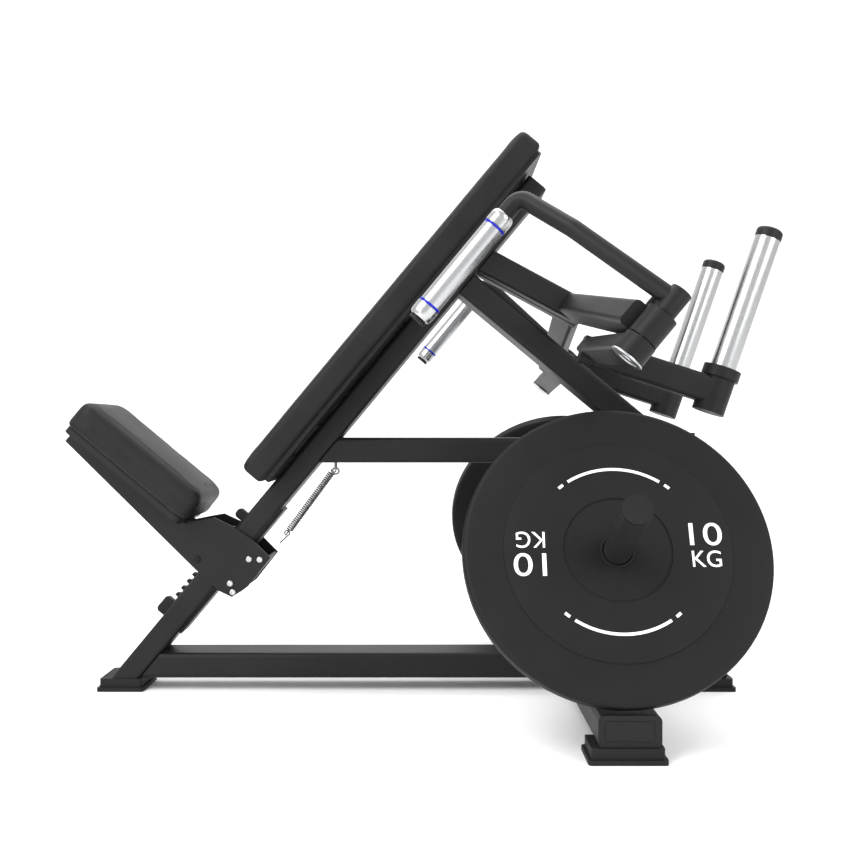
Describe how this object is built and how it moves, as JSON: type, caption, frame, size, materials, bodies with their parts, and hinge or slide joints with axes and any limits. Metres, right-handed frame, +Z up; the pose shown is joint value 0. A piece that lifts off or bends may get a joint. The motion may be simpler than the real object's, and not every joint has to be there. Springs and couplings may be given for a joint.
{
  "type": "plate-loaded incline arm machine",
  "caption": "Plate-loaded incline bench machine: long sloped pad, sliding seat, two swinging arms with hand grips and plate horns, and stored bumper plates on angled pegs.",
  "frame": {"origin": "centre of the whole machine's footprint box, on the floor", "axes": "+X from the seat end towards the plate horns, +Y across the machine, +Z up"},
  "size_m": [1.3791, 1.314, 1.103],
  "materials": {
    "painted_black": "satin powder coat",
    "peg_steel": "gloss",
    "black_plastic": "matte",
    "foot_rubber": "matte",
    "black_upholstery": "fine grain vinyl",
    "bright_steel": "brushed",
    "chrome": "satin chrome",
    "grip_aluminium": "fine brushed",
    "ring_blue": "satin",
    "roller_plastic": "satin",
    "plate_rubber": "matte with a fine texture",
    "insert_steel": "satin"
  },
  "bodies": {
    "frame": {"main_post": "painted_black", "base_beam": "painted_black", "upper_beam": "painted_black", "rear_strut": "painted_black", "rear_upright": "painted_black", "peg_upright": "painted_black", "cross_tube_left": "painted_black", "cross_tube_right": "painted_black", "end_caps": "black_plastic", "front_foot": "foot_rubber", "rear_foot": "foot_rubber", "side_feet": "foot_rubber", "pad_brackets": "painted_black", "pad_board": "black_plastic", "back_pad": "black_upholstery", "seat_rack": "painted_black", "guide_rail": "painted_black", "yoke_left": "painted_black", "yoke_right": "painted_black", "peg_left": "peg_steel", "peg_right": "peg_steel", "peg_end_caps": "black_plastic", "spring_eye": "bright_steel", "return_spring": "bright_steel"},
    "seat": {"seat_carriage": "painted_black", "seat_board": "black_plastic", "seat_pad": "black_upholstery", "carriage_rollers": "roller_plastic", "carriage_bolts": "bright_steel"},
    "lever": {"seat_lever": "painted_black"},
    "arm_left": {"pivot_shaft_left": "bright_steel", "weight_arm_left": "painted_black", "hub_cap_left": "bright_steel", "horn_collar_left": "painted_black", "horn_left": "chrome", "horn_cap_left": "black_plastic", "grip_arm_left": "painted_black"},
    "grip_left": {"grip_left": "grip_aluminium", "grip_rings_left": "ring_blue"},
    "plate_left": {"plate_left": "plate_rubber", "plate_insert_left": "insert_steel"},
    "arm_right": {"pivot_shaft_right": "bright_steel", "weight_arm_right": "painted_black", "hub_cap_right": "bright_steel", "horn_collar_right": "painted_black", "horn_right": "chrome", "horn_cap_right": "black_plastic", "grip_arm_right": "painted_black"},
    "grip_right": {"grip_right": "grip_aluminium", "grip_rings_right": "ring_blue"},
    "plate_right": {"plate_right": "plate_rubber", "plate_insert_right": "insert_steel"}
  },
  "joints": [
    {"name": "seat_slide", "type": "slide", "parent": "frame", "child": "seat", "axis": [0.6392, 0, 0.7691], "range_m": [-0.105, 0.0525], "deforming": ["return_spring"]},
    {"name": "seat_lever_pivot", "type": "hinge", "parent": "seat", "child": "lever", "pos_m": [-0.4195, 0, 0.30119], "axis": [0, -1, 0], "range_deg": [0, 12], "stiffness_Nm_per_rad": 6, "springref_deg": -14.32},
    {"name": "arm_left_swing", "type": "hinge", "parent": "frame", "child": "arm_left", "pos_m": [0.35024, -0.63, 0.658], "axis": [0.6392, 0, 0.7691], "range_deg": [-30, 0]},
    {"name": "grip_left_spin", "type": "hinge", "parent": "arm_left", "child": "grip_left", "pos_m": [0.17624, -0.508, 0.888], "axis": [0.6392, 0, 0.7691], "continuous": true},
    {"name": "plate_left_slide", "type": "slide", "parent": "frame", "child": "plate_left", "axis": [0, -0.91, 0.4147], "range_m": [0, 0.16]},
    {"name": "arm_right_swing", "type": "hinge", "parent": "frame", "child": "arm_right", "pos_m": [0.35024, 0.63, 0.658], "axis": [-0.6392, 0, -0.7691], "range_deg": [-30, 0]},
    {"name": "grip_right_spin", "type": "hinge", "parent": "arm_right", "child": "grip_right", "pos_m": [0.17624, 0.508, 0.888], "axis": [0.6392, 0, 0.7691], "continuous": true},
    {"name": "plate_right_slide", "type": "slide", "parent": "frame", "child": "plate_right", "axis": [0, 0.91, 0.4147], "range_m": [0, 0.16]}
  ]
}
